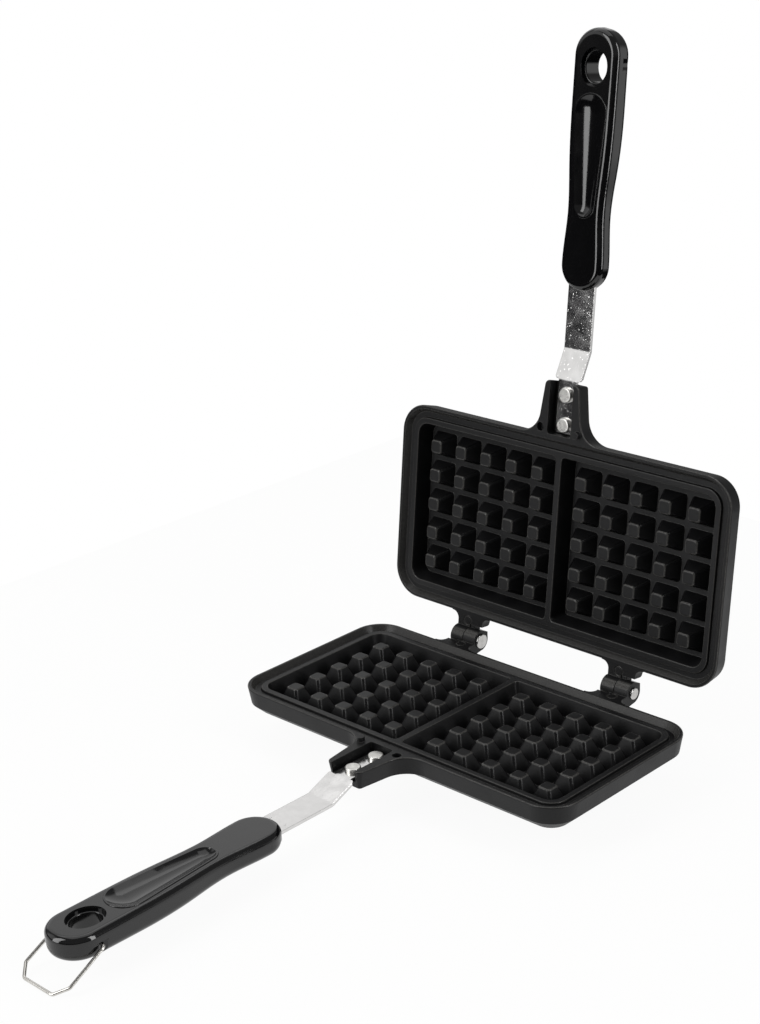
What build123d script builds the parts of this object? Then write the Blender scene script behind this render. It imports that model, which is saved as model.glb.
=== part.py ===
"""Stovetop waffle iron: two hinged cast plates on strip handles, held shut by a wire loop.

Millimetres, +Z up. The origin is the centre of the lower plate's flat underside, +Y points to
the hinge and the handles reach out along -Y. Each half of the iron is drawn once, in the
hinge frame: X is the hinge axis and z = 0 is the parting plane, with the cavity facing up.
The upper half is the same castings turned over and swung open.
"""
import os
from math import atan2, cos, radians, sin, tan

from build123d import *

# --- plate casting -------------------------------------------------------------------
plate_width = 212.0
plate_depth = 108.0
plate_height = 14.5          # parting plane to flat underside
corner_radius = 16.0
hinge_reach = 12.5           # hinge axis to the rear edge of the plate
parting_clearance = 0.1      # each rim stands this far back from the parting plane
wall_height = 9.5            # drafted outer wall, above the bevel of the underside
wall_draft = 10.0            # degrees
base_bevel = 48.0            # degrees, slope of the bevel down to the flat underside
edge_round = 0.7

# --- rim, overflow groove and sealing lip ----------------------------------------------
rim_width = 1.9
groove_depth = 3.2
groove_slope = 34.0          # degrees, inner face of the rim
lip_inset = 7.2              # plate edge to the outer edge of the lip
lip_width = 2.95             # top of the lip, outer edge to the cavity wall
lip_drop = 1.6               # lip and divider tops below the parting plane
lip_draft = 16.0             # degrees
lip_round = 0.5

# --- waffle cavities and their pins -----------------------------------------------------
pins_per_side = 5
divider_width = 3.45         # top of the bar between the two squares
cavity_depth = 11.0          # parting plane to the cavity floor
cavity_draft = 15.0          # degrees
cavity_corner = 6.5          # at the ends of the plate
divider_corner = 2.2         # beside the divider
floor_channel = 2.6          # flat floor between neighbouring pins
pin_drop = 2.2               # pin tips below the parting plane
pin_tip = 6.8
pin_tip_round = 1.2
pin_edge_round = 1.9

# --- handle lug at the front of each plate ------------------------------------------------
lug_length = 28.5
lug_root_width = 29.0
lug_tip_corner = 3.0
lug_root_fillet = 12.0
recess_depth = 6.1           # seat of the strip below the parting plane
recess_side_gap = 1.9        # side of the strip's narrow end to the side of its seat
recess_setback = 0.9         # front edge of the plate to the end of the seat
lug_wall = 3.2               # wall beside the seat at the tip of the lug
recess_end_gap = 0.6         # end of the strip to the end of the recess

# --- locating peg and hole -----------------------------------------------------------------
peg_offset = 11.9
peg_from_edge = 3.6
peg_diameter = 4.0
peg_height = 2.4
peg_clearance = 0.3
peg_round = 0.6

# --- hinge ------------------------------------------------------------------------------------
station_spacing = 101.0
knuckle_width = 8.3
knuckle_radius = 5.7
knuckle_gap = 0.3            # between the two knuckles of one station
block_reach = 7.4            # hinge axis to the end face of the plain half
block_height = 6.5
block_root = 8.0             # underside of the arm where it meets the wall
block_seat = 3.0             # how far the arms run into the wall
block_fillet = 4.0
flare_run = 0.5              # straight root beside each flare
block_round = 1.8
heel_height = 3.6            # squared heel of the knuckle, above the axis
heel_round = 1.1
stop_width = 3.0
stop_start = 0.5
stop_length = 5.0
stop_gap = 0.08
open_angle = 96.8            # degrees from shut, where the stops meet
eject_ring_radius = 2.7
eject_ring_offset = 1.8      # from the middle of the station
eject_ring_width = 0.5
eject_ring_depth = 0.25

# --- hinge pins ---------------------------------------------------------------------------------
hinge_pin_radius = 2.4
bore_clearance = 0.05
hinge_head_radius = 4.0
hinge_head_height = 1.2
hinge_head_round = 0.7
hinge_tail_radius = 3.1
hinge_tail_height = 1.0
hinge_tail_round = 0.6
hinge_end_gap = 0.08         # pin ends to the knuckle faces

# --- strips and their rivets ------------------------------------------------------------------------
strip_thickness = 1.6
strip_width = 16.2
tongue_width = 11.2          # narrow end that lies in the lug
tongue_margin = 0.6          # lug tip to the shoulders of the strip
strip_corner = 1.6
crank_start = 0.5            # lug tip to the start of the crank
crank_length = 14.8
strip_level = 10.4           # inner face of the outer run below the parting plane
crank_radius = 4.0
rivet_spacing = 15.6
rivet_from_tip = 7.0
rivet_radius = 2.0
rivet_head_radius = 4.0
rivet_head_height = 1.9
rivet_head_round = 0.8
rivet_tail_height = 1.4
rivet_tail_round = 0.65

# --- handles ----------------------------------------------------------------------------------------
handle_start = 45.4          # lug tip to the front end of the handle
handle_length = 128.0
handle_bulge = 25.4          # width behind the round front end
handle_waist = 22.4
waist_from_start = 38.0
grip_width = 24.6
grip_from_start = 60.0
handle_width = 26.7          # widest part, beside the hanging hole
wide_from_start = 104.0
inner_face_level = 7.3
seam_level = 13.4
outer_front_level = 17.9     # outer face at the front
outer_face_level = 20.3      # outer face at its deepest
outer_end_level = 19.4
swell_from_start = 38.0
deepest_from_start = 72.0
swell_radius = 400.0
cut_margin = 3.0             # how far the cut for the outer face passes the handle
inner_edge_round = 3.2
outer_edge_round = 4.0
seam_step = 0.4
tang_length = 88.0
slot_clearance = 0.05
slot_end_gap = 0.5

# --- hanging hole and thumb recess ---------------------------------------------------------------------
hole_from_end = 18.6
hole_side = 5.35             # hole to the side of the handle
hole_stretch = 2.8           # length of the hole less its width
hole_ledge = 1.7
ledge_depth = 2.0
hole_round = 0.5
thumb_wide = 18.0
thumb_narrow = 11.4
thumb_start = 31.8           # end of the handle to the wide end
thumb_length = 59.0
thumb_depth = 1.9
bead_width = 1.0
bead_height = 0.35
bead_round = 0.28

# --- locking wire and its pivots ----------------------------------------------------------------------
wire_diameter = 1.6
pivot_level = 14.1
pivot_from_end = 16.7
pivot_hole_depth = 3.2
pivot_clearance = 0.1
wire_side_gap = 0.4          # leg to the side of the handle
wire_splay = 0.3             # extra half width at the shoulders of the loop
wire_leg = 22.6              # pivot to the shoulders of the loop
wire_loop = 28.6             # pivot to the middle of the crossbar
wire_end_width = 19.0
wire_bend = 2.2
wire_hang = 27.7             # degrees below level at rest
notch_radius = 3.4
notch_depth = 1.4
notch_level = 12.6           # inner end of the scallop below the parting plane

# --- places worked out from the sizes above ---------------------------------------------------------
hinge_y = plate_depth / 2 + hinge_reach
hinge_z = plate_height
plate_centre = -hinge_y
front_edge = plate_centre - plate_depth / 2
rear_edge = -hinge_reach
rim_level = -parting_clearance
wall_bottom = -wall_height
wall_inset = wall_height * tan(radians(wall_draft))
base_depth = plate_height - wall_height
lug_tip = front_edge - lug_length
recess_end = front_edge - recess_setback
recess_width = tongue_width + 2 * recess_side_gap
lug_tip_width = recess_width + 2 * lug_wall
strip_end = recess_end - recess_end_gap
strip_face = strip_thickness - recess_depth
strip_middle = strip_face - strip_thickness / 2
strip_shoulder = lug_tip - tongue_margin
run_middle = -strip_level - strip_thickness / 2
crank_top = lug_tip - crank_start
crank_foot = crank_top - crank_length
handle_front = lug_tip - handle_start
handle_end = handle_front - handle_length
tang_end = handle_front - tang_length
hole_width = handle_width - 2 * hole_side
hole_length = hole_width + hole_stretch
hole_y = handle_end + hole_from_end
pivot_y = handle_end + pivot_from_end
thumb_wide_y = handle_end + thumb_start + thumb_wide / 2
thumb_narrow_y = handle_end + thumb_start + thumb_length - thumb_narrow / 2
thumb_floor = -inner_face_level - thumb_depth
thumb_cut = bead_height + thumb_depth
wide_curve = ((thumb_wide / 2) ** 2 + thumb_cut**2) / (2 * thumb_cut)
narrow_curve = ((thumb_narrow / 2) ** 2 + thumb_cut**2) / (2 * thumb_cut)
outer_half_width = handle_width / 2 - seam_step
notch_centre = outer_half_width - notch_depth + notch_radius
pivot_hole_end = outer_half_width - notch_depth - pivot_hole_depth
wire_end = pivot_hole_end + pivot_clearance
leg_offset = handle_width / 2 + wire_side_gap + wire_diameter / 2
rivet_places = [lug_tip + rivet_from_tip, lug_tip + rivet_from_tip + rivet_spacing]
cavity_top_x = (plate_width - divider_width) / 2 - lip_inset - lip_width
cavity_top_y = plate_depth - 2 * (lip_inset + lip_width)
cavity_spacing = cavity_top_x + divider_width
cavity_flare = 2 * (cavity_depth - lip_drop) * tan(radians(cavity_draft))
pin_pitch_x = (cavity_top_x - cavity_flare - floor_channel) / pins_per_side
pin_pitch_y = (cavity_top_y - cavity_flare - floor_channel) / pins_per_side
hinge_stations = [-station_spacing / 2, station_spacing / 2]

cavity_centres = [(-cavity_spacing / 2, plate_centre), (cavity_spacing / 2, plate_centre)]
lip_foot = lip_inset - (groove_depth - lip_drop) * tan(radians(lip_draft))
flare_reach = knuckle_width + block_fillet + flare_run
heel_turn = 2 * atan2(heel_height, knuckle_radius)
stop_turn = radians(180 - open_angle)
stop_face = block_reach - stop_gap
stop_corners = [(stop_start, 0), (stop_start, stop_face), (stop_length, stop_face), (stop_length, 0)]
ring_y = (rear_edge - knuckle_radius) / 2
lower_place = Location((0, hinge_y, hinge_z))
upper_place = lower_place * Location((0, 0, 0), (-open_angle, 0, 0)) * Location((0, 0, 0), (0, 180, 0))


def stop_point(along, out):
    """Point of the stop rib in the YZ plane, measured along and out to its contact face."""
    return (
        along * sin(stop_turn) + out * cos(stop_turn),
        -along * cos(stop_turn) + out * sin(stop_turn),
    )


# --- plate casting ---------------------------------------------------------------------------------
def pin_side(base):
    """Side view of a waffle pin that is this wide at its foot."""
    with BuildLine() as side:
        Polyline(
            (-base / 2, -cavity_depth),
            (base / 2, -cavity_depth),
            (pin_tip / 2, -pin_drop),
            (-pin_tip / 2, -pin_drop),
            close=True,
        )
    return side.line


with BuildPart() as pin:
    with BuildSketch(Plane.XZ):
        add(pin_side(pin_pitch_x - floor_channel))
        make_face()
    extrude(amount=pin_pitch_y, both=True)
    with BuildSketch(Plane.YZ):
        add(pin_side(pin_pitch_y - floor_channel))
        make_face()
    extrude(amount=pin_pitch_x, both=True, mode=Mode.INTERSECT)
    fillet(pin.edges().group_by(Axis.Z)[1], pin_edge_round)
    fillet(pin.edges().group_by(Axis.Z)[-1], pin_tip_round)

# core that leaves the waffle cavity on the right of the divider
with BuildPart() as cavity:
    for level, inset in [(-lip_drop, 0), (-cavity_depth, cavity_flare / 2)]:
        with BuildSketch(Plane.XY.offset(level)) as outline:
            with Locations(cavity_centres[1]):
                Rectangle(cavity_top_x - 2 * inset, cavity_top_y - 2 * inset)
            fillet(outline.vertices().group_by(Axis.X)[-1], cavity_corner - inset)
            fillet(outline.vertices().group_by(Axis.X)[0], divider_corner)
    loft(ruled=True)

with BuildPart() as knuckle:
    with BuildSketch(Plane.YZ.offset(knuckle_gap / 2)) as knuckle_side:
        Circle(knuckle_radius)
        with BuildLine():
            Polyline(
                (0, 0),
                (knuckle_radius, 0),
                (knuckle_radius, heel_height),
                (knuckle_radius * cos(heel_turn), knuckle_radius * sin(heel_turn)),
                close=True,
            )
        make_face()
        with BuildLine():
            Polyline(
                (rear_edge - block_seat, rim_level),
                (0, rim_level),
                (0, -knuckle_radius),
                (rear_edge - block_seat, -block_root),
                close=True,
            )
        make_face()
        heel = knuckle_side.vertices().sort_by_distance((0, knuckle_radius, heel_height))[0]
        fillet(heel, heel_round)
    extrude(amount=knuckle_width - knuckle_gap / 2)
    with BuildSketch(Plane.YZ.offset(knuckle_gap / 2)):
        with BuildLine():
            Polyline(*[stop_point(s, n) for s, n in stop_corners], close=True)
        make_face()
    extrude(amount=stop_width)

with BuildPart() as block:
    with BuildSketch(Plane.XY.offset(rim_level)) as block_plan:
        with BuildLine():
            Polyline(
                (-flare_reach, rear_edge - block_seat),
                (-flare_reach, rear_edge),
                (-knuckle_width, rear_edge),
                (-knuckle_width, -block_reach),
                (knuckle_width, -block_reach),
                (knuckle_width, rear_edge),
                (flare_reach, rear_edge),
                (flare_reach, rear_edge - block_seat),
                close=True,
            )
        make_face()
        flare_corners = block_plan.vertices().filter_by(
            lambda v: abs(v.Y - rear_edge) < 0.01 and abs(v.X) < flare_reach - 0.01
        )
        fillet(flare_corners, block_fillet)
    extrude(amount=-(block_height + rim_level))
    fillet(block.edges().filter_by(Axis.X).group_by(Axis.Z)[0].sort_by(Axis.Y)[-1], block_round)

with BuildPart() as plate:
    with BuildSketch(Plane.XY.offset(rim_level)) as outline:
        with Locations((0, plate_centre)):
            RectangleRounded(plate_width, plate_depth, corner_radius)
        with BuildLine():
            Polyline(
                (-lug_root_width / 2, front_edge + corner_radius),
                (-lug_root_width / 2, front_edge),
                (-lug_tip_width / 2, lug_tip),
                (lug_tip_width / 2, lug_tip),
                (lug_root_width / 2, front_edge),
                (lug_root_width / 2, front_edge + corner_radius),
                close=True,
            )
        make_face()
        fillet(outline.vertices().group_by(Axis.Y)[0], lug_tip_corner)
        lug_roots = outline.vertices().filter_by(
            lambda v: abs(v.Y - front_edge) < 0.01 and abs(v.X) < lug_root_width
        )
        fillet(lug_roots, lug_root_fillet)
    extrude(amount=-(wall_height - parting_clearance), taper=wall_draft)
    fillet(plate.edges().group_by(Axis.Z)[-1], edge_round)
    with BuildSketch(Plane.XY.offset(-wall_height)):
        with Locations((0, plate_centre)):
            RectangleRounded(
                plate_width - 2 * wall_inset, plate_depth - 2 * wall_inset, corner_radius - wall_inset
            )
    extrude(amount=-base_depth, taper=base_bevel)
    # hinge arms
    for station in hinge_stations:
        with Locations((station, 0, 0)):
            add(block.part)
            add(knuckle.part)
    # overflow groove and sealing lip
    with BuildSketch(Plane.XY.offset(rim_level)):
        with Locations((0, plate_centre)):
            RectangleRounded(
                plate_width - 2 * rim_width, plate_depth - 2 * rim_width, corner_radius - rim_width
            )
    extrude(amount=-(groove_depth - parting_clearance), taper=groove_slope, mode=Mode.SUBTRACT)
    with BuildSketch(Plane.XY.offset(-groove_depth)):
        with Locations((0, plate_centre)):
            RectangleRounded(
                plate_width - 2 * lip_foot, plate_depth - 2 * lip_foot, corner_radius - lip_foot
            )
    extrude(amount=groove_depth - lip_drop, taper=lip_draft)
    add(cavity.part, mode=Mode.SUBTRACT)
    mirror(cavity.part, about=Plane.YZ, mode=Mode.SUBTRACT)
    lip_edges = plate.edges().filter_by_position(Axis.Z, -lip_drop - 0.01, -lip_drop + 0.01)
    fillet(lip_edges, lip_round)
    # seat of the strip, rivet holes, locating peg and its hole
    with BuildSketch(Plane.XY.offset(-recess_depth)) as seat:
        with Locations((0, recess_end)):
            Rectangle(recess_width, 2 * lug_length, align=(Align.CENTER, Align.MAX))
        fillet(seat.vertices().group_by(Axis.Y)[-1], strip_corner)
    extrude(amount=2 * recess_depth, mode=Mode.SUBTRACT)
    with Locations(*[(0, y, -recess_depth) for y in rivet_places]):
        Hole(rivet_radius + bore_clearance)
    with BuildSketch(Plane.XY.offset(rim_level - peg_height)):
        with Locations((-peg_offset, front_edge - peg_from_edge)):
            Circle(peg_diameter / 2)
    extrude(amount=2 * peg_height)
    fillet(plate.edges().group_by(Axis.Z)[-1], peg_round)
    with Locations((peg_offset, front_edge - peg_from_edge, rim_level)):
        Hole(peg_diameter / 2 + peg_clearance, depth=peg_height + 2 * peg_clearance)
    # bores on the hinge axis, and the round marks on the hinge blocks
    with BuildSketch(Plane.YZ):
        Circle(hinge_pin_radius + bore_clearance)
    extrude(amount=station_spacing, both=True, mode=Mode.SUBTRACT)
    with BuildSketch(Plane.XY.offset(rim_level)):
        with Locations(*[(x + eject_ring_offset, ring_y) for x in hinge_stations]):
            Circle(eject_ring_radius)
            Circle(eject_ring_radius - eject_ring_width, mode=Mode.SUBTRACT)
    extrude(amount=-eject_ring_depth, mode=Mode.SUBTRACT)
    # waffle pins
    with Locations(*cavity_centres):
        with GridLocations(pin_pitch_x, pin_pitch_y, pins_per_side, pins_per_side):
            add(pin.part)


# --- strip that joins a plate to its handle ------------------------------------------------------------
with BuildPart() as strip:
    with BuildSketch(Plane.YZ):
        with BuildLine() as strip_path:
            FilletPolyline(
                (strip_end, strip_middle),
                (crank_top, strip_middle),
                (crank_foot, run_middle),
                (tang_end, run_middle),
                radius=crank_radius,
            )
        trace(strip_path.line, line_width=strip_thickness)
    extrude(amount=strip_width / 2, both=True)
    with BuildSketch(Plane.XY):
        for side in (-1, 1):
            with Locations((side * tongue_width / 2, strip_shoulder)):
                Rectangle(
                    strip_width,
                    2 * lug_length,
                    align=(Align.MIN if side > 0 else Align.MAX, Align.MIN),
                )
    extrude(amount=strip_level, both=True, mode=Mode.SUBTRACT)
    ends = strip.edges().filter_by(Axis.Z).filter_by(lambda e: e.length > 0.9 * strip_thickness)
    fillet(ends.group_by(Axis.Y)[-1] + ends.group_by(Axis.Y)[0], strip_corner)
    shoulders = strip.edges().filter_by(Axis.Z).filter_by(
        lambda e: abs(e.center().Y - strip_shoulder) < 0.1 and abs(e.center().X) > tongue_width / 2
    )
    fillet(shoulders, strip_corner)
    with Locations(*[(0, y, strip_face) for y in rivet_places]):
        Hole(rivet_radius + bore_clearance, depth=2 * strip_thickness)

# --- rivet through strip and lug ------------------------------------------------------------------------
with BuildPart() as rivet:
    with BuildSketch(Plane.XY.offset(strip_face)):
        Circle(rivet_head_radius)
    extrude(amount=rivet_head_height)
    fillet(rivet.edges().group_by(Axis.Z)[-1], rivet_head_round)
    with BuildSketch(Plane.XY.offset(strip_face)):
        Circle(rivet_radius)
    extrude(amount=-(wall_height + strip_face))
    with BuildSketch(Plane.XY.offset(-wall_height)):
        Circle(rivet_head_radius)
    extrude(amount=-rivet_tail_height)
    fillet(rivet.edges().group_by(Axis.Z)[0], rivet_tail_round)

# --- hinge pin, head at the inner face of its station -----------------------------------------------------
with BuildPart() as hinge_pin:
    with BuildSketch(Plane.YZ.offset(-knuckle_width - hinge_end_gap)):
        Circle(hinge_pin_radius)
    extrude(amount=2 * (knuckle_width + hinge_end_gap))
    with BuildSketch(Plane.YZ.offset(-knuckle_width - hinge_end_gap)):
        Circle(hinge_head_radius)
    extrude(amount=-hinge_head_height)
    fillet(hinge_pin.edges().group_by(Axis.X)[0], hinge_head_round)
    with BuildSketch(Plane.YZ.offset(knuckle_width + hinge_end_gap)):
        Circle(hinge_tail_radius)
    extrude(amount=hinge_tail_height)
    fillet(hinge_pin.edges().group_by(Axis.X)[-1], hinge_tail_round)

# --- core that leaves the thumb recess, a dish that narrows towards the front -------------------------------
wide_centre = Vector(0, thumb_wide_y, thumb_floor + wide_curve)
narrow_centre = Vector(0, thumb_narrow_y, thumb_floor + narrow_curve)
dish_run = (narrow_centre - wide_centre).normalized()
wide_tip = wide_centre - dish_run * wide_curve
narrow_tip = narrow_centre + dish_run * narrow_curve
with BuildPart() as thumb_dish:
    with BuildSketch(Plane.YZ):
        with BuildLine():
            Line((thumb_wide_y, thumb_floor), (thumb_narrow_y, thumb_floor))
            TangentArc(
                (thumb_narrow_y, thumb_floor), (narrow_tip.Y, narrow_tip.Z), tangent=(1, 0)
            )
            Line((narrow_tip.Y, narrow_tip.Z), (wide_tip.Y, wide_tip.Z))
            TangentArc((thumb_wide_y, thumb_floor), (wide_tip.Y, wide_tip.Z), tangent=(-1, 0))
        make_face()
    revolve(axis=Axis(wide_centre, dish_run))

# --- handle ---------------------------------------------------------------------------------------------------
def handle_plan(inset):
    """Outline of a handle seen from above, drawn this far inside the widest one."""
    shoulder_y = handle_front - handle_bulge / 2
    side_x = handle_width / 2 - inset
    side_y = handle_front - wide_from_start
    end_y = handle_end + handle_width / 2
    with BuildLine() as plan:
        CenterArc((0, shoulder_y), handle_bulge / 2 - inset, 90, -90)
        Spline(
            (handle_bulge / 2 - inset, shoulder_y),
            (handle_waist / 2 - inset, handle_front - waist_from_start),
            (grip_width / 2 - inset, handle_front - grip_from_start),
            (side_x, side_y),
            tangents=((0, -1), (0, -1)),
        )
        Line((side_x, side_y), (side_x, end_y))
        CenterArc((0, end_y), side_x, 0, -90)
        mirror(about=Plane.YZ)
    return plan.line


with BuildPart() as handle:
    with BuildSketch(Plane.XY.offset(-seam_level)):
        add(handle_plan(0))
        make_face()
    extrude(amount=seam_level - inner_face_level)
    fillet(handle.faces().sort_by(Axis.Z)[-1].edges(), inner_edge_round)
    with BuildSketch(Plane.XY.offset(-seam_level)):
        add(handle_plan(seam_step))
        make_face()
    extrude(amount=-(outer_face_level - seam_level))
    # the outer face swells from the front to the palm
    cut_front = handle_front + cut_margin
    cut_end = handle_end - cut_margin
    with BuildSketch(Plane.YZ):
        with BuildLine():
            FilletPolyline(
                (cut_front, -outer_front_level),
                (handle_front - swell_from_start, -outer_front_level),
                (handle_front - deepest_from_start, -outer_face_level),
                (cut_end, -outer_end_level),
                radius=swell_radius,
            )
            Polyline(
                (cut_end, -outer_end_level),
                (cut_end, -outer_face_level - cut_margin),
                (cut_front, -outer_face_level - cut_margin),
                (cut_front, -outer_front_level),
            )
        make_face()
    extrude(amount=handle_width, both=True, mode=Mode.SUBTRACT)
    facing_out = handle.faces().filter_by(lambda face: face.normal_at().Z < -0.9)
    outer_faces = facing_out.sort_by(Axis.Z)[:-1]  # all but the step at the seam
    fillet(outer_faces.edges().filter_by(Axis.X, reverse=True), outer_edge_round)
    # slot for the tang of the strip
    with BuildSketch(Plane.XY.offset(run_middle)):
        with Locations((0, handle_front)):
            Rectangle(
                strip_width + 2 * slot_clearance,
                2 * (tang_length + slot_end_gap),
            )
    extrude(amount=strip_thickness / 2 + slot_clearance, both=True, mode=Mode.SUBTRACT)
    # hanging hole, with a ledge below the inner face
    with BuildSketch(Plane.XY.offset(-inner_face_level)):
        with Locations((0, hole_y)):
            Ellipse(hole_width / 2 - hole_ledge, hole_length / 2 - hole_ledge)
    extrude(amount=-outer_face_level, mode=Mode.SUBTRACT)
    with BuildSketch(Plane.XY.offset(-inner_face_level)):
        with Locations((0, hole_y)):
            Ellipse(hole_width / 2, hole_length / 2)
    extrude(amount=-ledge_depth, mode=Mode.SUBTRACT)
    for face_level in (inner_face_level, outer_face_level):
        rim = handle.edges().sort_by_distance((0, hole_y, -face_level))[0]
        fillet(rim, hole_round)
    # thumb recess inside a raised bead
    with BuildSketch(Plane.XY.offset(-inner_face_level)):
        with Locations((0, thumb_wide_y)):
            Circle(thumb_wide / 2 + bead_width)
        with Locations((0, thumb_narrow_y)):
            Circle(thumb_narrow / 2 + bead_width)
        make_hull()
    extrude(amount=bead_height)
    fillet(handle.edges().group_by(Axis.Z)[-1], bead_round)
    add(thumb_dish.part, mode=Mode.SUBTRACT)
    # scallops and holes for the locking wire
    with BuildSketch(Plane.XY.offset(-notch_level)):
        with Locations(*[(x, pivot_y) for x in (-notch_centre, notch_centre)]):
            Circle(notch_radius)
    extrude(amount=-outer_face_level, mode=Mode.SUBTRACT)
    for side in (-1, 1):
        with BuildSketch(Plane.YZ.offset(side * pivot_hole_end)):
            with Locations((pivot_y, -pivot_level)):
                Circle(wire_diameter / 2 + pivot_clearance)
        extrude(amount=side * handle_width / 2, mode=Mode.SUBTRACT)

# --- locking wire, drawn level and then let hang ---------------------------------------------------------------
with BuildPart() as wire:
    with BuildLine() as wire_path:
        FilletPolyline(
            (-wire_end, 0, 0),
            (-leg_offset, 0, 0),
            (-leg_offset - wire_splay, -wire_leg, 0),
            (-wire_end_width / 2, -wire_loop, 0),
            (wire_end_width / 2, -wire_loop, 0),
            (leg_offset + wire_splay, -wire_leg, 0),
            (leg_offset, 0, 0),
            (wire_end, 0, 0),
            radius=wire_bend,
        )
    with BuildSketch(Plane.YZ.offset(-wire_end)):
        Circle(wire_diameter / 2)
    sweep(path=wire_path.line)

# --- the assembly --------------------------------------------------------------------------------------------------
os.makedirs("parts", exist_ok=True)


def write_piece(shape, place, name):
    """Put one copy of a piece in its place, label it and write it out."""
    with BuildPart() as piece:
        with Locations(place):
            add(shape)
    piece.part.label = name
    export_step(piece.part, f"parts/{name}.step")


for half, place in (("lower", lower_place), ("upper", upper_place)):
    write_piece(plate.part, place, f"{half}_plate")
    write_piece(strip.part, place, f"{half}_strip")
    write_piece(handle.part, place, f"{half}_handle")
    for row, rivet_y in zip(("front", "rear"), rivet_places):
        write_piece(rivet.part, place * Location((0, rivet_y, 0)), f"{half}_{row}_rivet")
for side, station, turn in (("left", hinge_stations[0], 180), ("right", hinge_stations[1], 0)):
    write_piece(
        hinge_pin.part, lower_place * Location((station, 0, 0), (0, 0, turn)), f"{side}_hinge_pin"
    )
write_piece(
    wire.part,
    lower_place * Location((0, pivot_y, -pivot_level), (wire_hang, 0, 0)),
    "locking_wire",
)
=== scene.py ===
"""Stovetop waffle iron, open: coated cast plates, steel strips, moulded handles, wire loop.

The frame's own solids give every shape. This script gives them their finishes, adds the punch
marks on the two strips, and sets the white studio around them. Metres.
"""
from math import cos, radians, sin

import bmesh
import bpy
from mathutils import Matrix, Vector


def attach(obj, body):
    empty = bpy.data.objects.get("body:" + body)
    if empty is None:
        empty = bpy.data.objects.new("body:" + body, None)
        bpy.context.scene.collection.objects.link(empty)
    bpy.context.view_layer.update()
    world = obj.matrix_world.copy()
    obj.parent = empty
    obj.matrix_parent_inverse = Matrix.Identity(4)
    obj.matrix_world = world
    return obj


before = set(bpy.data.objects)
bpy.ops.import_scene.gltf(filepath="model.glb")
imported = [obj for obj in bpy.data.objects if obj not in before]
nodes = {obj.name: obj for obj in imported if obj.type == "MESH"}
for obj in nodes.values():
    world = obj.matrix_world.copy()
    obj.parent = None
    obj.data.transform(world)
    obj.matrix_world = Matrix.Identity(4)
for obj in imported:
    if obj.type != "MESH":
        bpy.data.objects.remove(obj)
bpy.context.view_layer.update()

MM = 0.001
HINGE_AXIS = Vector((0, 66.5, 14.5)) * MM
OPEN_ANGLE = radians(96.8)
HALF_TURN = radians(180)
# From a half drawn shut, its cavity up and the hinge axis along X, to where each half stands.
LOWER_PLACE = Matrix.Translation(HINGE_AXIS)
UPPER_PLACE = (
    LOWER_PLACE @ Matrix.Rotation(-OPEN_ANGLE, 4, "X") @ Matrix.Rotation(HALF_TURN, 4, "Y")
)
# Turns about X that lay each plate down again with its cavity up.
LOWER_TURN = 0
UPPER_TURN = HALF_TURN + OPEN_ANGLE


# --- node helpers ------------------------------------------------------------------------
def linear(hex_colour):
    """Linear RGBA of an sRGB hex colour such as 1a2b3c."""
    channels = [int(hex_colour[i:i + 2], 16) / 255 for i in (0, 2, 4)]
    return [c / 12.92 if c <= 0.04045 else ((c + 0.055) / 1.055) ** 2.4 for c in channels] + [1]


WHITE = linear("ffffff")


def add_node(tree, kind, inputs=None, **settings):
    """Adds one shader node; an input given a socket is linked, any other is set."""
    node = tree.nodes.new("ShaderNode" + kind)
    for name, value in settings.items():
        setattr(node, name, value)
    for socket, value in (inputs or {}).items():
        if isinstance(value, bpy.types.NodeSocket):
            tree.links.new(value, node.inputs[socket])
        else:
            node.inputs[socket].default_value = value
    return node


def new_material(name):
    """An empty node material with its output, and the object coordinates of its piece."""
    material = bpy.data.materials.new(name)
    material.use_nodes = True
    tree = material.node_tree
    tree.nodes.clear()
    output = add_node(tree, "OutputMaterial")
    place = add_node(tree, "TexCoord").outputs["Object"]
    return material, tree, output, place


def grain(tree, place, size_mm, detail, stretch=(1, 1, 1), turn=(0, 0, 0)):
    """Noise whose blotches are size_mm across, drawn out along each axis by stretch."""
    scaled = add_node(tree, "Mapping", {
        "Vector": place,
        "Rotation": turn,
        "Scale": [1 / s for s in stretch],
    }, vector_type="POINT")
    return add_node(tree, "TexNoise", {
        "Vector": scaled.outputs["Vector"],
        "Scale": 1 / (size_mm * MM),
        "Detail": detail,
    }).outputs["Fac"]


def band(tree, value, start, full, fade, end):
    """White where value lies between full and fade, black outside start and end."""
    rise = add_node(tree, "MapRange", {"Value": value, "From Min": start, "From Max": full})
    fall = add_node(tree, "MapRange", {"Value": value, "From Min": end, "From Max": fade})
    return add_node(tree, "Math", {
        0: rise.outputs["Result"], 1: fall.outputs["Result"],
    }, operation="MULTIPLY").outputs["Value"]


# --- coating of the plates ---------------------------------------------------------------
EASED_EDGE = 0.45 * MM
# How far up an edge faces, as the Z of its direction: fades in, full, fades out.
BROW_BAND = (0.5, 0.62, 0.93, 0.985)
CORNER_BAND = (0.34, 0.38, 0.6, 0.8)
# X times Y of the direction of a pin's corner edge: where it starts, and where it is full.
CORNER_LEAN = (0.12, 0.3)


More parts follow.
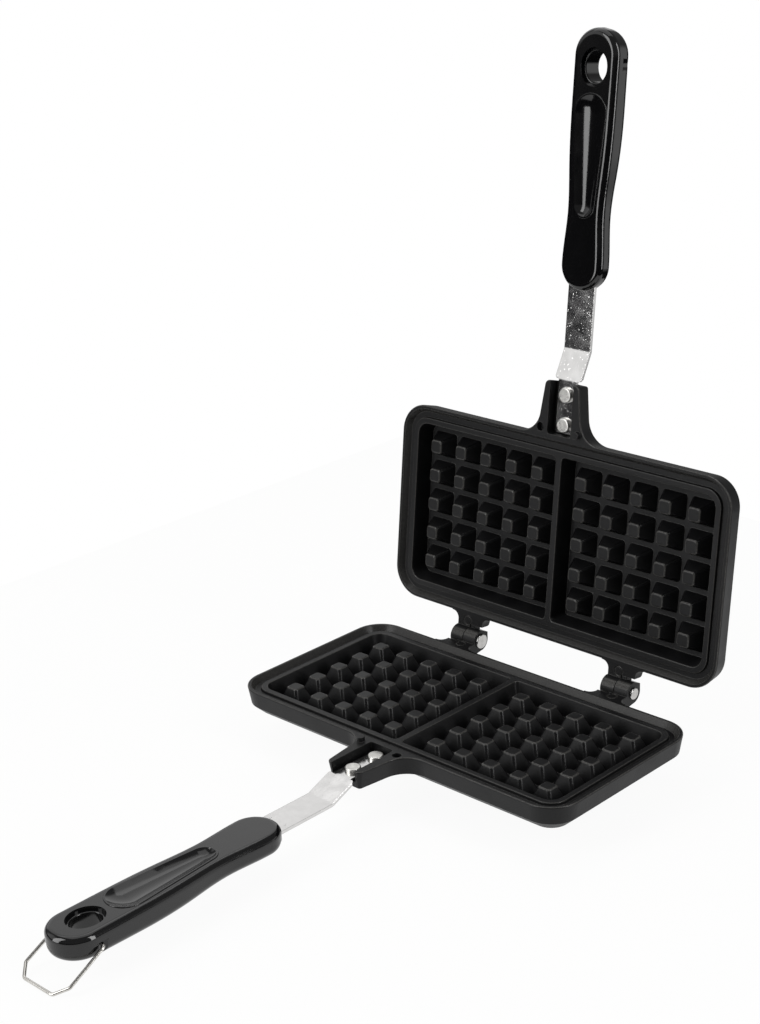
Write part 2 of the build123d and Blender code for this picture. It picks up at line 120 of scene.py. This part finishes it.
def edge_mask(tree, rounded, turn):
    """White on the rounded edges of a plate, from which way its surface faces.

    turn brings the plate to lie with its cavity up. Then a tip, rim or lip edge faces partly
    up, and the corner edges of a waffle pin lean out between its two sloping sides.
    """
    facing = add_node(tree, "VectorTransform", {
        "Vector": rounded,
    }, vector_type="NORMAL", convert_from="WORLD", convert_to="OBJECT")
    laid = add_node(tree, "SeparateXYZ", {
        "Vector": add_node(tree, "VectorRotate", {
            "Vector": facing.outputs["Vector"], "Angle": turn, "Axis": (1, 0, 0),
        }, rotation_type="AXIS_ANGLE").outputs["Vector"],
    })
    brow = band(tree, laid.outputs["Z"], *BROW_BAND)
    lean = add_node(tree, "Math", {
        0: laid.outputs["X"], 1: laid.outputs["Y"],
    }, operation="MULTIPLY")
    sideways = add_node(tree, "Math", {0: lean.outputs["Value"]}, operation="ABSOLUTE")
    leaning = add_node(tree, "MapRange", {
        "Value": sideways.outputs["Value"],
        "From Min": CORNER_LEAN[0], "From Max": CORNER_LEAN[1],
    })
    corner = add_node(tree, "Math", {
        0: leaning.outputs["Result"], 1: band(tree, laid.outputs["Z"], *CORNER_BAND),
    }, operation="MULTIPLY")
    return brow, corner.outputs["Value"]


def nonstick_coating(name, turn):
    """Black PTFE sprayed on die-cast aluminium: dull and pebbled, shiny on edges; edges facing
    partly up are painted lighter, partly a thinner coat and partly a painted highlight.
    """
    material, tree, output, place = new_material(name)
    # The real pebbling and bare specks are near 0.2 mm, too fine to show, so they are coarser.
    pebble = grain(tree, place, 0.8, detail=3)
    speck = grain(tree, place, 0.5, detail=1)
    # One sweep of the spray gun leaves patches about a fingertip wide.
    flow = grain(tree, place, 14, detail=2)
    eased = add_node(tree, "Bevel", {"Radius": EASED_EDGE}, samples=8).outputs["Normal"]
    brow, corner = edge_mask(tree, eased, turn)
    speckled = add_node(tree, "MapRange", {
        "Value": speck, "From Min": 0.35, "From Max": 0.6, "To Min": 0.45, "To Max": 1.0,
    })
    thin_coat_and_highlight = add_node(tree, "Math", {0: brow, 1: speckled.outputs["Result"]}, operation="MULTIPLY")
    shiny = add_node(tree, "Math", {0: brow, 1: corner}, operation="MAXIMUM")
    body = add_node(tree, "Mix", {
        "Factor": flow, "A": linear("0b0b0c"), "B": linear("121213"),
    }, data_type="RGBA")
    # Edges that face partly up are painted lighter: partly a thinner coat, partly a painted
    # highlight.
    colour = add_node(tree, "Mix", {
        "Factor": thin_coat_and_highlight.outputs["Value"], "A": body.outputs["Result"], "B": linear("484745"),
    }, data_type="RGBA")
    dull = add_node(tree, "MapRange", {
        "Value": flow, "From Min": 0.3, "From Max": 0.7, "To Min": 0.44, "To Max": 0.52,
    })
    polish = add_node(tree, "MapRange", {"Value": shiny.outputs["Value"], "To Max": 0.25})
    roughness = add_node(tree, "Math", {
        0: dull.outputs["Result"], 1: polish.outputs["Result"],
    }, operation="SUBTRACT")
    bump = add_node(tree, "Bump", {
        "Height": pebble, "Strength": 0.5, "Distance": 0.12 * MM, "Normal": eased,
    })
    shader = add_node(tree, "BsdfPrincipled", {
        "Base Color": colour.outputs["Result"],
        "Roughness": roughness.outputs["Value"],
        "Normal": bump.outputs["Normal"],
        "IOR": 1.33,
    })
    tree.links.new(shader.outputs["BSDF"], output.inputs["Surface"])
    return material


# --- moulding, steel and heads ---------------------------------------------------------------
def phenolic():
    """Black phenolic moulding, polished by its mould: sharp highlights, faint waviness, smears."""
    material, tree, output, place = new_material("gloss_phenolic")
    # Sink and flow leave waves about 9 mm apart; a wiping cloth leaves smears along the grip.
    waves = grain(tree, place, 9, detail=1)
    smear = grain(tree, place, 26, detail=4, stretch=(1, 1.8, 1.8))
    # Dust nibs under 0.3 mm are too fine to show, so they are coarser.
    nibs = grain(tree, place, 0.8, detail=1)
    sheen = add_node(tree, "MapRange", {
        "Value": smear, "From Min": 0.35, "From Max": 0.75, "To Min": 0.08, "To Max": 0.16,
    })
    raised = add_node(tree, "MapRange", {
        "Value": nibs, "From Min": 0.62, "From Max": 0.75, "To Min": 0, "To Max": 0.02,
    })
    height = add_node(tree, "Math", {0: waves, 1: raised.outputs["Result"]}, operation="ADD")
    bump = add_node(tree, "Bump", {
        "Height": height.outputs["Value"], "Strength": 0.25, "Distance": 0.15 * MM,
    })
    shader = add_node(tree, "BsdfPrincipled", {
        "Base Color": linear("0a0a0b"),
        "Roughness": sheen.outputs["Result"],
        "Normal": bump.outputs["Normal"],
        "IOR": 1.52,
    })
    tree.links.new(shader.outputs["BSDF"], output.inputs["Surface"])
    return material


def rolled_steel(name, turn):
    """Stainless strip tumbled after stamping: bright, finely pitted, with rolling lines.

    The lines are drawn out along Y, so they run along the lower strip, and the upper strip
    shows their ends as a fine grain. turn gives each strip its own part of the pattern.
    """
    material, tree, output, place = new_material(name)
    # Real rolling lines and pits are under 0.1 mm, too fine to show, so they are coarser.
    lines = grain(tree, place, 0.5, detail=3, stretch=(1, 60, 1), turn=turn)
    pits = grain(tree, place, 0.9, detail=3)
    sparks = grain(tree, place, 0.9, detail=0)
    # Handling leaves clouded patches a few millimetres across.
    blotch = grain(tree, place, 6, detail=4)
    pitted = add_node(tree, "MapRange", {
        "Value": pits, "From Min": 0.3, "From Max": 0.7, "To Min": 0, "To Max": 0.12,
    })
    sparkling = add_node(tree, "MapRange", {
        "Value": sparks, "From Min": 0.75, "From Max": 0.83, "To Min": 0, "To Max": 2.8,
    })
    relief = add_node(tree, "Math", {
        0: pitted.outputs["Result"], 1: sparkling.outputs["Result"],
    }, operation="ADD")
    colour = add_node(tree, "Mix", {
        "Factor": blotch, "A": linear("c8c7c6"), "B": linear("e2e1e0"),
    }, data_type="RGBA")
    lined = add_node(tree, "MapRange", {
        "Value": lines, "From Min": 0.3, "From Max": 0.7, "To Min": 0.09, "To Max": 0.14,
    })
    clouded = add_node(tree, "MapRange", {
        "Value": blotch, "From Min": 0.35, "From Max": 0.7, "To Min": 0, "To Max": 0.08,
    })
    roughness = add_node(tree, "Math", {
        0: lined.outputs["Result"], 1: clouded.outputs["Result"],
    }, operation="ADD")
    eased = add_node(tree, "Bevel", {"Radius": 0.3 * MM}, samples=6)
    bump = add_node(tree, "Bump", {
        "Height": relief.outputs["Value"], "Strength": 0.35, "Distance": 0.03 * MM,
        "Normal": eased.outputs["Normal"],
    })
    shader = add_node(tree, "BsdfPrincipled", {
        "Base Color": colour.outputs["Result"],
        "Metallic": 1.0,
        "Roughness": roughness.outputs["Value"],
        "Normal": bump.outputs["Normal"],
    })
    tree.links.new(shader.outputs["BSDF"], output.inputs["Surface"])
    return material


def headed_metal(name, low, high, roughness, dent):
    """Metal formed cold in a die: bright and satin, with shallow tool marks as strong as dent."""
    material, tree, output, place = new_material(name)
    dents = grain(tree, place, 2.4, detail=2)
    # The satin grain of a die is near 0.1 mm, too fine to show, so it is coarser.
    satin = grain(tree, place, 0.5, detail=2)
    colour = add_node(tree, "Mix", {
        "Factor": dents, "A": linear(low), "B": linear(high),
    }, data_type="RGBA")
    sheen = add_node(tree, "MapRange", {
        "Value": satin, "From Min": 0.3, "From Max": 0.7,
        "To Min": roughness - 0.05, "To Max": roughness + 0.08,
    })
    bump = add_node(tree, "Bump", {"Height": dents, "Strength": dent, "Distance": 0.25 * MM})
    shader = add_node(tree, "BsdfPrincipled", {
        "Base Color": colour.outputs["Result"],
        "Metallic": 1.0,
        "Roughness": sheen.outputs["Result"],
        "Normal": bump.outputs["Normal"],
    })
    tree.links.new(shader.outputs["BSDF"], output.inputs["Surface"])
    return material


lower_coating = nonstick_coating("ptfe_coated_casting_lower", LOWER_TURN)
upper_coating = nonstick_coating("ptfe_coated_casting_upper", UPPER_TURN)
moulding = phenolic()
lower_steel = rolled_steel("rolled_steel_lower", turn=(0, 0, 0))
upper_steel = rolled_steel("rolled_steel_upper", turn=(radians(90), 0, 0))
rivet_metal = headed_metal("headed_aluminium", "a9a8a4", "efeeea", roughness=0.3, dent=0.35)
pin_metal = headed_metal("headed_steel", "a5a4a2", "cbcac8", roughness=0.22, dent=0.35)
wire_metal = headed_metal("drawn_wire", "b7b4ae", "dcdad6", roughness=0.2, dent=0.06)

finishes = {
    "lower_plate": lower_coating, "upper_plate": upper_coating,
    "lower_handle": moulding, "upper_handle": moulding,
    "lower_strip": lower_steel, "upper_strip": upper_steel,
    "lower_front_rivet": rivet_metal, "lower_rear_rivet": rivet_metal,
    "upper_front_rivet": rivet_metal, "upper_rear_rivet": rivet_metal,
    "left_hinge_pin": pin_metal, "right_hinge_pin": pin_metal,
    "locking_wire": wire_metal,
}
for name, material in finishes.items():
    slots = nodes[name].data.materials
    slots.clear()
    slots.append(material)

# --- punch marks on the strips, just outside the handles ---------------------------------------
MARK_SPACING = 9.7 * MM
MARK_Y = -192.0 * MM
STRIP_FACE_Z = -10.4 * MM
MARK_RADIUS = 0.55 * MM
MARK_HEIGHT = 0.18 * MM


def punch_marks(name, body, place, material):
    """Two low domes side by side on the inner face of one strip."""
    marks = bmesh.new()
    for side in (-1, 1):
        dome = bmesh.ops.create_uvsphere(marks, u_segments=16, v_segments=8, radius=MARK_RADIUS)
        bmesh.ops.scale(marks, verts=dome["verts"], vec=(1, 1, MARK_HEIGHT / MARK_RADIUS))
        bmesh.ops.translate(
            marks, verts=dome["verts"], vec=(side * MARK_SPACING / 2, MARK_Y, STRIP_FACE_Z)
        )
    bmesh.ops.transform(marks, matrix=place, verts=marks.verts)
    data = bpy.data.meshes.new(name)
    marks.to_mesh(data)
    marks.free()
    data.shade_smooth()
    piece = bpy.data.objects.new(name, data)
    bpy.context.scene.collection.objects.link(piece)
    data.materials.append(material)
    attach(piece, body)


punch_marks("lower_strip_marks", "lower", LOWER_PLACE, lower_steel)
punch_marks("upper_strip_marks", "upper", UPPER_PLACE, upper_steel)

# --- table -------------------------------------------------------------------------------------
TABLE_HALF_SIZE = 0.37
TABLE_Z = -14 * MM
TABLE_GLOW = 0.94            # the rest of the paper takes the object's shadow


def table_paper():
    """Paper sweep: plain white to the camera and in reflections, pale to the lamps."""
    material, tree, output, _ = new_material("table_paper")
    path = add_node(tree, "LightPath").outputs
    seen = add_node(tree, "Math", {
        0: path["Is Camera Ray"], 1: path["Is Glossy Ray"],
    }, operation="MAXIMUM")
    seen = add_node(tree, "Math", {
        0: seen.outputs["Value"], 1: path["Is Transmission Ray"],
    }, operation="MAXIMUM")
    share = add_node(tree, "MapRange", {"Value": seen.outputs["Value"], "To Max": TABLE_GLOW})
    paper = add_node(tree, "BsdfDiffuse", {"Color": linear("f2f2f0")})
    glow = add_node(tree, "Emission", {"Color": WHITE, "Strength": 1.0})
    mixed = add_node(tree, "MixShader", {
        0: share.outputs["Result"], 1: paper.outputs["BSDF"], 2: glow.outputs["Emission"],
    })
    tree.links.new(mixed.outputs["Shader"], output.inputs["Surface"])
    return material


table_mesh = bmesh.new()
bmesh.ops.create_grid(table_mesh, x_segments=1, y_segments=1, size=TABLE_HALF_SIZE)
bmesh.ops.translate(table_mesh, verts=table_mesh.verts, vec=(0, 0, TABLE_Z))
table_data = bpy.data.meshes.new("studio_table")
table_mesh.to_mesh(table_data)
table_mesh.free()
table_data.materials.append(table_paper())
table = bpy.data.objects.new("studio_table", table_data)
bpy.context.scene.collection.objects.link(table)

# --- room: grey walls, darker towards the floor, with three white screens ------------------------
WALLS_DARK = linear("202022")
WALLS_GREY = linear("808080")
WALLS_CHANGE = (0.0, 0.2)    # heights on a sphere of radius 1 around the object
# Each screen's azimuth and half width in degrees, and its lowest and highest height.
SCREENS = [(146, 32, 0.12, 0.86), (-142, 22, 0.16, 0.7), (50, 15, -0.3, 0.3)]
SCREEN_SIDE_FADE = 0.03      # in the cosine of the angle from its middle
SCREEN_END_FADE = 0.06

world = bpy.data.worlds.new("studio_world")
bpy.context.scene.world = world
world.use_nodes = True
tree = world.node_tree
tree.nodes.clear()
away = add_node(tree, "TexCoord").outputs["Generated"]
height = add_node(tree, "SeparateXYZ", {"Vector": away}).outputs["Z"]


def screen(azimuth, half_width, low, high):
    """White towards one azimuth, between two heights of the sphere around the scene."""
    facing = add_node(tree, "VectorMath", {
        0: away, 1: (cos(radians(azimuth)), sin(radians(azimuth)), 0),
    }, operation="DOT_PRODUCT")
    squared = add_node(tree, "Math", {0: height, 1: height}, operation="MULTIPLY")
    level = add_node(tree, "Math", {0: 1.0, 1: squared.outputs["Value"]}, operation="SUBTRACT")
    across = add_node(tree, "Math", {0: level.outputs["Value"]}, operation="SQRT")
    turned = add_node(tree, "Math", {
        0: facing.outputs["Value"], 1: across.outputs["Value"],
    }, operation="DIVIDE")
    edge = cos(radians(half_width))
    sides = add_node(tree, "MapRange", {
        "Value": turned.outputs["Value"],
        "From Min": edge - SCREEN_SIDE_FADE, "From Max": edge + SCREEN_SIDE_FADE,
    })
    ends = band(
        tree, height, low - SCREEN_END_FADE, low + SCREEN_END_FADE,
        high - SCREEN_END_FADE, high + SCREEN_END_FADE,
    )
    return add_node(tree, "Math", {
        0: sides.outputs["Result"], 1: ends,
    }, operation="MULTIPLY").outputs["Value"]


lit = screen(*SCREENS[0])
for setting in SCREENS[1:]:
    brighter = add_node(tree, "Math", {0: lit, 1: screen(*setting)}, operation="MAXIMUM")
    lit = brighter.outputs["Value"]
wall_shade = add_node(tree, "MapRange", {
    "Value": height, "From Min": WALLS_CHANGE[0], "From Max": WALLS_CHANGE[1],
})
walls = add_node(tree, "Mix", {
    "Factor": wall_shade.outputs["Result"], "A": WALLS_DARK, "B": WALLS_GREY,
}, data_type="RGBA")
room = add_node(tree, "Mix", {
    "Factor": lit, "A": walls.outputs["Result"], "B": WHITE,
}, data_type="RGBA")
shown = add_node(tree, "Mix", {
    "Factor": add_node(tree, "LightPath").outputs["Is Camera Ray"],
    "A": room.outputs["Result"], "B": WHITE,
}, data_type="RGBA")
backdrop = add_node(tree, "Background", {"Color": shown.outputs["Result"], "Strength": 1.0})
add_node(tree, "OutputWorld", {"Surface": backdrop.outputs["Background"]})

# --- lamps: name, place and aim, size, watts ---------------------------------------------------
for name, place, aim, size, power in [
    ("left_softbox", (-0.4, -1.1, 0.6), (0, 0, 0.2), (0.46, 1.4), 10),
    ("right_softbox", (1.12, 0.2, 0.6), (0, 0, 0.2), (0.3, 1.4), 9),
    ("top_softbox", (-0.3, 0.1, 1.3), (0, 0, 0.08), (1.1, 1.1), 4),
]:
    data = bpy.data.lights.new(name, "AREA")
    data.shape = "RECTANGLE"
    data.size, data.size_y = size
    data.energy = power
    lamp = bpy.data.objects.new(name, data)
    bpy.context.scene.collection.objects.link(lamp)
    facing = (Vector(aim) - Vector(place)).to_track_quat("-Z", "Y")
    lamp.matrix_world = Matrix.Translation(place) @ facing.to_matrix().to_4x4()

# --- camera -----------------------------------------------------------------------------------
CAMERA_PLACE = Vector((595.5, -661.8, 455.5)) * MM
CAMERA_HEADING = radians(44.24)
CAMERA_DIP = radians(20.68)  # below level
CAMERA_ROLL = radians(-2.25)

camera_data = bpy.data.cameras.new("studio_camera")
camera_data.sensor_width = 36
camera_data.lens = 69.54
camera_data.clip_end = 20
camera = bpy.data.objects.new("studio_camera", camera_data)
bpy.context.scene.collection.objects.link(camera)
camera.matrix_world = (
    Matrix.Translation(CAMERA_PLACE)
    @ Matrix.Rotation(CAMERA_HEADING, 4, "Z")
    @ Matrix.Rotation(radians(90) - CAMERA_DIP, 4, "X")
    @ Matrix.Rotation(CAMERA_ROLL, 4, "Z")
)
bpy.context.scene.camera = camera
bpy.context.scene.view_settings.view_transform = "Standard"
